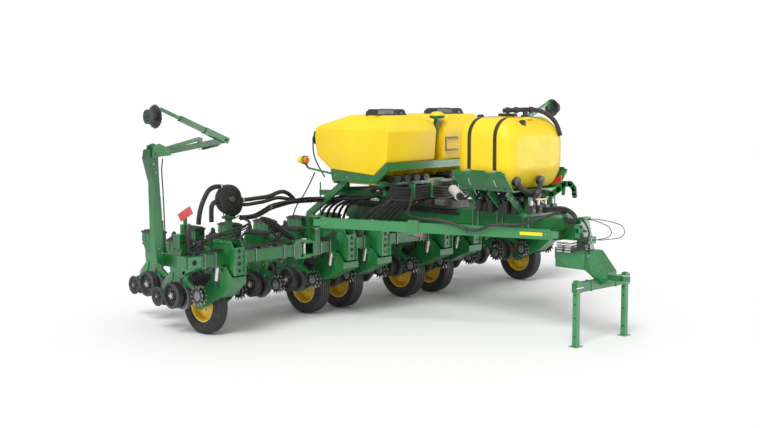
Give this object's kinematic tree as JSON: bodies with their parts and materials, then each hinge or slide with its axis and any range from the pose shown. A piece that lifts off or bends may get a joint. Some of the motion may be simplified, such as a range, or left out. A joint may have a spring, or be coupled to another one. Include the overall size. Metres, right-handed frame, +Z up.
{
  "type": "corn planter",
  "caption": "Front-fold drawn row-crop planter: toolbar with hinged wings, row units, transport wheels, seed tanks, liquid tank and folding row markers.",
  "frame": {"origin": "on the ground under the centre of the machine's box in X and Y", "axes": "+X to the machine's left, -Y towards the hitch, +Z up"},
  "size_m": [9.8, 7.0868, 3.515],
  "materials": {
    "frame_green": "gloss",
    "bracket_green": "gloss",
    "tank_yellow": "satin",
    "rim_yellow": "gloss",
    "tyre_black": "matte",
    "gauge_rubber": "matte",
    "black_plastic": "satin",
    "hose_black": "satin",
    "bare_steel": "satin",
    "disc_steel": "satin"
  },
  "bodies": {
    "centre_frame": {"centre_toolbars": "frame_green", "hinge_pins": "bare_steel", "centre_lift_brackets": "bracket_green", "centre_lift_arms": "frame_green", "centre_lift_cylinders": "bare_steel", "centre_row_units": "frame_green", "centre_row_discs": "disc_steel", "tongue_beam": "frame_green", "right_draft_link": "bracket_green", "left_draft_link": "bracket_green", "right_seed_tank": "tank_yellow", "left_seed_tank": "tank_yellow", "liquid_tank": "tank_yellow", "tank_straps": "black_plastic", "tank_saddle": "frame_green", "tank_frame": "frame_green", "receiver": "rim_yellow", "seed_ducts": "black_plastic", "frame_hose": "hose_black"},
    "hitch": {"hitch_slide": "frame_green", "coupler_hose_long": "hose_black", "coupler_hose_short": "hose_black"},
    "right_jack": {"right_jack_stand": "bracket_green"},
    "left_jack": {"left_jack_stand": "bracket_green"},
    "right_lid": {"right_tank_lid": "black_plastic"},
    "left_lid": {"left_tank_lid": "black_plastic"},
    "liquid_lid": {"liquid_tank_lid": "black_plastic"},
    "right_centre_wheels": {"right_centre_tyres": "tyre_black", "right_centre_rims": "rim_yellow"},
    "left_centre_wheels": {"left_centre_tyres": "tyre_black", "left_centre_rims": "rim_yellow"},
    "centre_front_gauge": {"centre_gauge_wheels_front": "gauge_rubber"},
    "centre_rear_gauge": {"centre_gauge_wheels_rear": "gauge_rubber"},
    "right_wing": {"right_wing_toolbars": "frame_green", "right_wing_row_units": "frame_green", "right_wing_row_discs": "disc_steel", "right_wing_lift_arm": "frame_green", "right_wing_lift_cylinder": "bare_steel", "vacuum_fan": "black_plastic"},
    "right_wing_front_gauge": {"right_wing_gauge_wheels_front": "gauge_rubber"},
    "right_wing_rear_gauge": {"right_wing_gauge_wheels_rear": "gauge_rubber"},
    "right_wing_wheel": {"right_wing_tyre": "tyre_black", "right_wing_rim": "rim_yellow"},
    "right_marker_base": {"right_marker_mast": "frame_green"},
    "right_marker_middle": {"right_marker_middle_arm": "frame_green"},
    "right_marker_outer": {"right_marker_outer_arm": "frame_green"},
    "right_marker_coulter": {"right_marker_disc": "disc_steel"},
    "left_wing": {"left_wing_toolbars": "frame_green", "left_wing_row_units": "frame_green", "left_wing_row_discs": "disc_steel", "left_wing_lift_arm": "frame_green", "left_wing_lift_cylinder": "bare_steel"},
    "left_wing_front_gauge": {"left_wing_gauge_wheels_front": "gauge_rubber"},
    "left_wing_rear_gauge": {"left_wing_gauge_wheels_rear": "gauge_rubber"},
    "left_wing_wheel": {"left_wing_tyre": "tyre_black", "left_wing_rim": "rim_yellow"},
    "left_marker_base": {"left_marker_mast": "frame_green"},
    "left_marker_middle": {"left_marker_middle_arm": "frame_green"},
    "left_marker_outer": {"left_marker_outer_arm": "frame_green"},
    "left_marker_coulter": {"left_marker_disc": "disc_steel"}
  },
  "joints": [
    {"name": "hitch_extension", "type": "slide", "parent": "centre_frame", "child": "hitch", "axis": [0, -1, 0], "range_m": [0, 1.2]},
    {"name": "right_jack_slide", "type": "slide", "parent": "hitch", "child": "right_jack", "axis": [0, 0, 1], "range_m": [-0.12, 0]},
    {"name": "right_lid_hinge", "type": "hinge", "parent": "centre_frame", "child": "right_lid", "pos_m": [-0.7, 1.1365, 3.34], "axis": [-1, 0, 0], "range_deg": [0, 100]},
    {"name": "right_centre_wheel_spin", "type": "hinge", "parent": "centre_frame", "child": "right_centre_wheels", "pos_m": [-1.143, 1.7955, 0.465], "axis": [1, 0, 0], "continuous": true},
    {"name": "left_jack_slide", "type": "slide", "parent": "hitch", "child": "left_jack", "axis": [0, 0, 1], "range_m": [-0.12, 0]},
    {"name": "left_lid_hinge", "type": "hinge", "parent": "centre_frame", "child": "left_lid", "pos_m": [0.7, 1.1365, 3.34], "axis": [-1, 0, 0], "range_deg": [0, 100]},
    {"name": "left_centre_wheel_spin", "type": "hinge", "parent": "centre_frame", "child": "left_centre_wheels", "pos_m": [1.143, 1.7955, 0.465], "axis": [1, 0, 0], "continuous": true},
    {"name": "liquid_lid_turn", "type": "hinge", "parent": "centre_frame", "child": "liquid_lid", "pos_m": [0, -1.2285, 3.32], "axis": [0, 0, 1], "range_deg": [0, 90]},
    {"name": "centre_front_gauge_spin", "type": "hinge", "parent": "centre_frame", "child": "centre_front_gauge", "pos_m": [0, 1.7115, 0.625], "axis": [1, 0, 0], "continuous": true},
    {"name": "centre_rear_gauge_spin", "type": "hinge", "parent": "centre_frame", "child": "centre_rear_gauge", "pos_m": [0, 2.9115, 0.625], "axis": [1, 0, 0], "continuous": true},
    {"name": "right_wing_fold", "type": "hinge", "parent": "centre_frame", "child": "right_wing", "pos_m": [-2.286, 1.0105, 1.22], "axis": [0, 0, 1], "range_deg": [0, 90]},
    {"name": "right_wing_front_gauge_spin", "type": "hinge", "parent": "right_wing", "child": "right_wing_front_gauge", "pos_m": [-3.429, 1.7115, 0.625], "axis": [1, 0, 0], "continuous": true},
    {"name": "right_wing_rear_gauge_spin", "type": "hinge", "parent": "right_wing", "child": "right_wing_rear_gauge", "pos_m": [-3.429, 2.9115, 0.625], "axis": [1, 0, 0], "continuous": true},
    {"name": "right_wing_wheel_spin", "type": "hinge", "parent": "right_wing", "child": "right_wing_wheel", "pos_m": [-3.81, 1.5615, 0.46], "axis": [1, 0, 0], "continuous": true},
    {"name": "right_marker_fold", "type": "hinge", "parent": "right_wing", "child": "right_marker_base", "pos_m": [-4.69, 1.5215, 1.19], "axis": [0, -1, 0], "range_deg": [0, 88]},
    {"name": "right_marker_middle_fold", "type": "hinge", "parent": "right_marker_base", "child": "right_marker_middle", "pos_m": [-4.75, 1.5215, 2.79], "axis": [0, -1, 0], "range_deg": [0, 95]},
    {"name": "right_marker_outer_fold", "type": "hinge", "parent": "right_marker_middle", "child": "right_marker_outer", "pos_m": [-3.43, 1.5215, 2.95], "axis": [0, 1, 0], "range_deg": [0, 148]},
    {"name": "right_marker_disc_spin", "type": "hinge", "parent": "right_marker_outer", "child": "right_marker_coulter", "pos_m": [-4.7, 1.5215, 3.33], "axis": [1, 0, 0], "continuous": true},
    {"name": "left_wing_fold", "type": "hinge", "parent": "centre_frame", "child": "left_wing", "pos_m": [2.286, 1.0105, 1.22], "axis": [0, 0, -1], "range_deg": [0, 90]},
    {"name": "left_wing_front_gauge_spin", "type": "hinge", "parent": "left_wing", "child": "left_wing_front_gauge", "pos_m": [3.429, 1.7115, 0.625], "axis": [1, 0, 0], "continuous": true},
    {"name": "left_wing_rear_gauge_spin", "type": "hinge", "parent": "left_wing", "child": "left_wing_rear_gauge", "pos_m": [3.429, 2.9115, 0.625], "axis": [1, 0, 0], "continuous": true},
    {"name": "left_wing_wheel_spin", "type": "hinge", "parent": "left_wing", "child": "left_wing_wheel", "pos_m": [3.81, 1.5615, 0.46], "axis": [1, 0, 0], "continuous": true},
    {"name": "left_marker_fold", "type": "hinge", "parent": "left_wing", "child": "left_marker_base", "pos_m": [4.69, 1.5215, 1.19], "axis": [0, 1, 0], "range_deg": [0, 88]},
    {"name": "left_marker_middle_fold", "type": "hinge", "parent": "left_marker_base", "child": "left_marker_middle", "pos_m": [4.75, 1.5215, 2.79], "axis": [0, 1, 0], "range_deg": [0, 95]},
    {"name": "left_marker_outer_fold", "type": "hinge", "parent": "left_marker_middle", "child": "left_marker_outer", "pos_m": [3.43, 1.5215, 2.95], "axis": [0, -1, 0], "range_deg": [0, 148]},
    {"name": "left_marker_disc_spin", "type": "hinge", "parent": "left_marker_outer", "child": "left_marker_coulter", "pos_m": [4.7, 1.5215, 3.33], "axis": [1, 0, 0], "continuous": true}
  ],
  "couplings": [
    {"joint": "right_marker_middle_fold", "follows": "right_marker_fold", "ratio": 1.07},
    {"joint": "right_marker_outer_fold", "follows": "right_marker_fold", "ratio": 1.68},
    {"joint": "left_marker_middle_fold", "follows": "left_marker_fold", "ratio": 1.07},
    {"joint": "left_marker_outer_fold", "follows": "left_marker_fold", "ratio": 1.68},
    {"joint": "left_wing_fold", "follows": "right_wing_fold", "ratio": 1}
  ]
}
